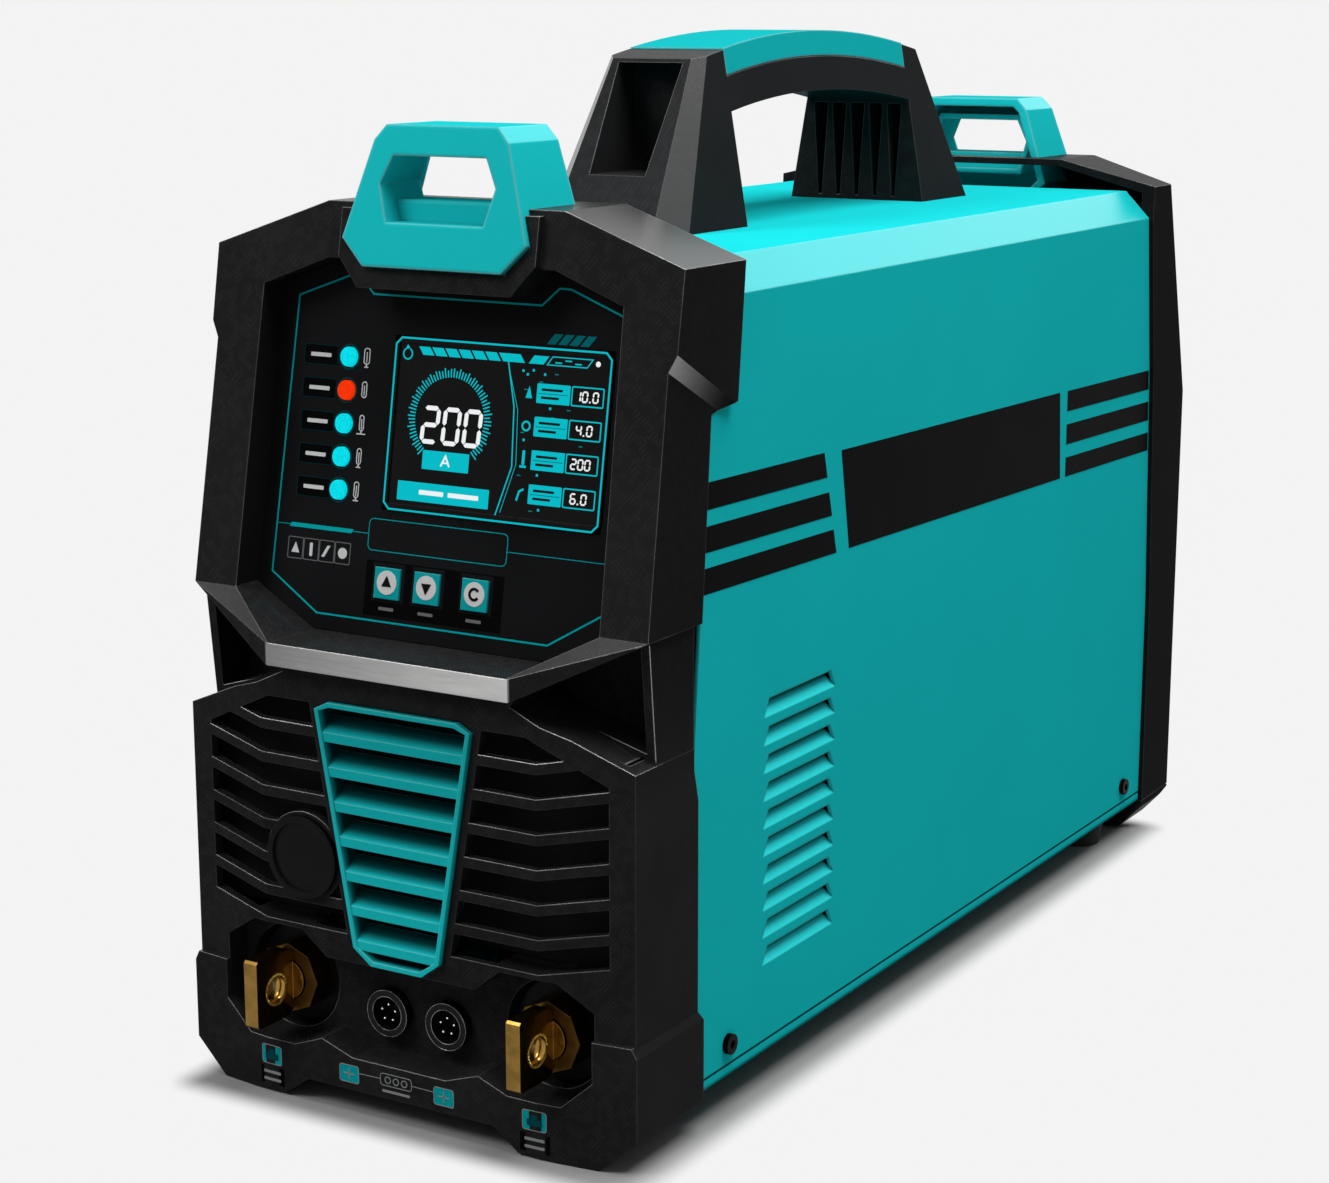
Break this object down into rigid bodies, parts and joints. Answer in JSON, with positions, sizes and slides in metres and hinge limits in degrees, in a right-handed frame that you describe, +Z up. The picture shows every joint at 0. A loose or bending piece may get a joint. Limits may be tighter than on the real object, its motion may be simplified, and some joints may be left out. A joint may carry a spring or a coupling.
{
  "type": "stud welder",
  "caption": "Portable stud welding power source: folded casing between two faceted mouldings, carry handle, lift eyes, leaning display and flat output terminals.",
  "frame": {"origin": "on the floor under the middle of the machine's box", "axes": "+X across to the right seen from the operator's side at -Y, +Y to the rear, +Z up"},
  "size_m": [0.206, 0.5426, 0.4],
  "materials": {
    "black_plastic": "fine-grained satin",
    "teal_metal": "satin powder coat",
    "teal_plastic": "satin moulding",
    "panel_film": "satin film",
    "screen": "gloss",
    "button": "satin",
    "lamp_cyan": "translucent lens",
    "lamp_red": "translucent lens",
    "brass": "turned and milled",
    "insulator": "moulded",
    "nickel": "plated",
    "screw_black": "blackened",
    "foam": "open foam",
    "rubber": "matt",
    "fan_plastic": "matt",
    "rocker": "gloss",
    "board": "solder resist",
    "sink": "extruded",
    "can": "sleeved",
    "core_iron": "varnished laminations",
    "copper": "bare copper"
  },
  "bodies": {
    "housing": {"front_bezel": "black_plastic", "rear_bezel": "black_plastic", "carry_handle": "black_plastic", "grille_cap": "black_plastic", "casing": "teal_metal", "base_plate": "teal_metal", "grille_insert": "teal_plastic", "front_lift_bracket": "teal_plastic", "rear_lift_bracket": "teal_plastic", "handle_cap": "teal_plastic", "display_panel": "panel_film", "lcd_screen": "screen", "status_lamps": "lamp_cyan", "fault_lamp": "lamp_red", "gun_terminal": "brass", "work_terminal": "brass", "terminal_collars": "brass", "gas_inlet": "brass", "terminal_insulators": "insulator", "socket_cores": "insulator", "cable_gland": "insulator", "power_switch": "insulator", "control_sockets": "nickel", "socket_nuts": "nickel", "terminal_nuts": "nickel", "fan_guard": "nickel", "casing_screws": "screw_black", "grille_filter": "foam", "rubber_feet": "rubber", "fan_frame": "fan_plastic", "control_board": "board", "power_board": "board", "heatsink": "sink", "capacitor_bank": "can", "transformer_core": "core_iron", "transformer_coil": "copper", "output_busbars": "copper"},
    "up_button": {"up_button": "button"},
    "down_button": {"down_button": "button"},
    "enter_button": {"enter_button": "button"},
    "power_rocker": {"power_rocker": "rocker"},
    "fan_rotor": {"fan_rotor": "fan_plastic"}
  },
  "joints": [
    {"name": "up_button_press", "type": "slide", "parent": "housing", "child": "up_button", "axis": [0, 0.9848, -0.1736], "range_m": [0, 0.001], "stiffness_N_per_m": 600},
    {"name": "down_button_press", "type": "slide", "parent": "housing", "child": "down_button", "axis": [0, 0.9848, -0.1736], "range_m": [0, 0.001], "stiffness_N_per_m": 600},
    {"name": "enter_button_press", "type": "slide", "parent": "housing", "child": "enter_button", "axis": [0, 0.9848, -0.1736], "range_m": [0, 0.001], "stiffness_N_per_m": 600},
    {"name": "power_rocker_tilt", "type": "hinge", "parent": "housing", "child": "power_rocker", "pos_m": [-0.05, 0.26025, 0.1845], "axis": [1, 0, 0], "range_deg": [0, 20]},
    {"name": "fan_spin", "type": "hinge", "parent": "housing", "child": "fan_rotor", "pos_m": [0, 0.23905, 0.093], "axis": [0, 1, 0], "continuous": true}
  ]
}
